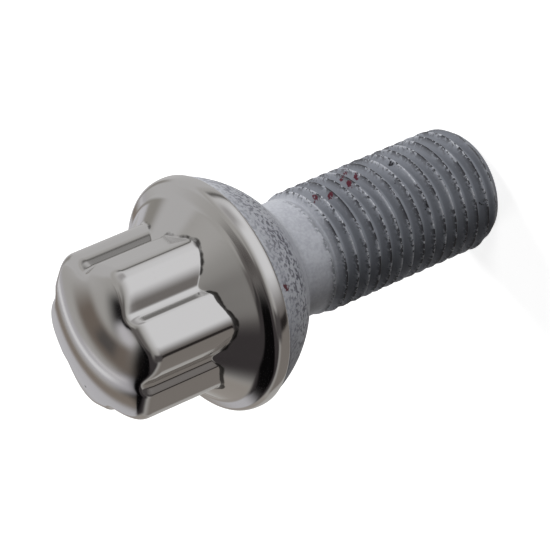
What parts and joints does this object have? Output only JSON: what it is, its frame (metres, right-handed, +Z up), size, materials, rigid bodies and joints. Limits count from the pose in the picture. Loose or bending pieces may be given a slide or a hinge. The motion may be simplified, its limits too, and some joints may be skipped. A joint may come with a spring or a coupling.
{
  "type": "wheel bolt",
  "caption": "Wheel bolt with a threaded shank, a smooth neck, a ball seat and a polished sheet cap crimped over its fluted hexagon head.",
  "frame": {"origin": "middle of the flat end of the thread, which the bolt stands on", "axes": "+Z up the bolt's axis to the head's end; X through two opposite corners of the hexagon"},
  "size_m": [0.026, 0.026, 0.0512],
  "materials": {
    "zinc_flake_steel": "matte blue-grey zinc flake coating on forged steel",
    "polished_stainless": "polished stainless steel sheet, deep drawn"
  },
  "bodies": {
    "root": {"bolt_body": "zinc_flake_steel", "head_cap": "polished_stainless"}
  },
  "joints": []
}
